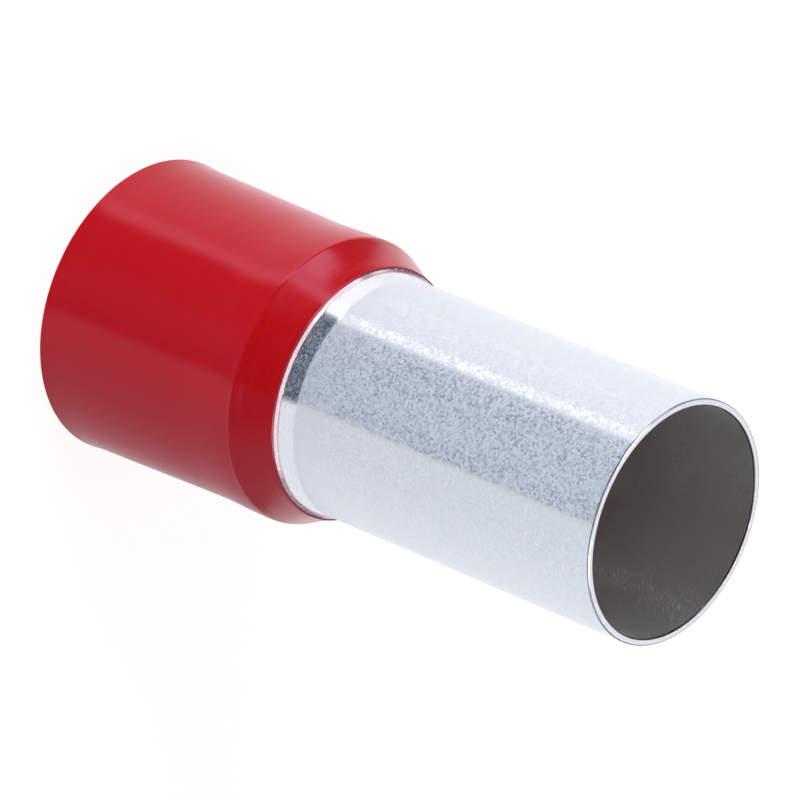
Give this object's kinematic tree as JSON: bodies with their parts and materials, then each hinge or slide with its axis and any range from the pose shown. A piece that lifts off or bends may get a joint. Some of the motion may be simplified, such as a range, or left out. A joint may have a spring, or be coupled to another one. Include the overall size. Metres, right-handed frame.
{
  "type": "insulated wire ferrule",
  "caption": "Insulated wire ferrule: a thin tinned copper sleeve, open at both ends, with its flared end seated in the conical nose of a glossy red plastic collar.",
  "frame": {"origin": "centre of the collar's rear rim, on the surface that the rim stands on", "axes": "+Z along the ferrule's axis, from the collar's rear rim up to the sleeve's mouth; the ferrule is round, so X and Y are any two directions square to it"},
  "size_m": [0.019, 0.019, 0.044],
  "materials": {
    "tinned_copper": "gloss",
    "red_plastic": "gloss"
  },
  "bodies": {
    "root": {"contact_sleeve": "tinned_copper", "insulating_collar": "red_plastic"}
  },
  "joints": []
}
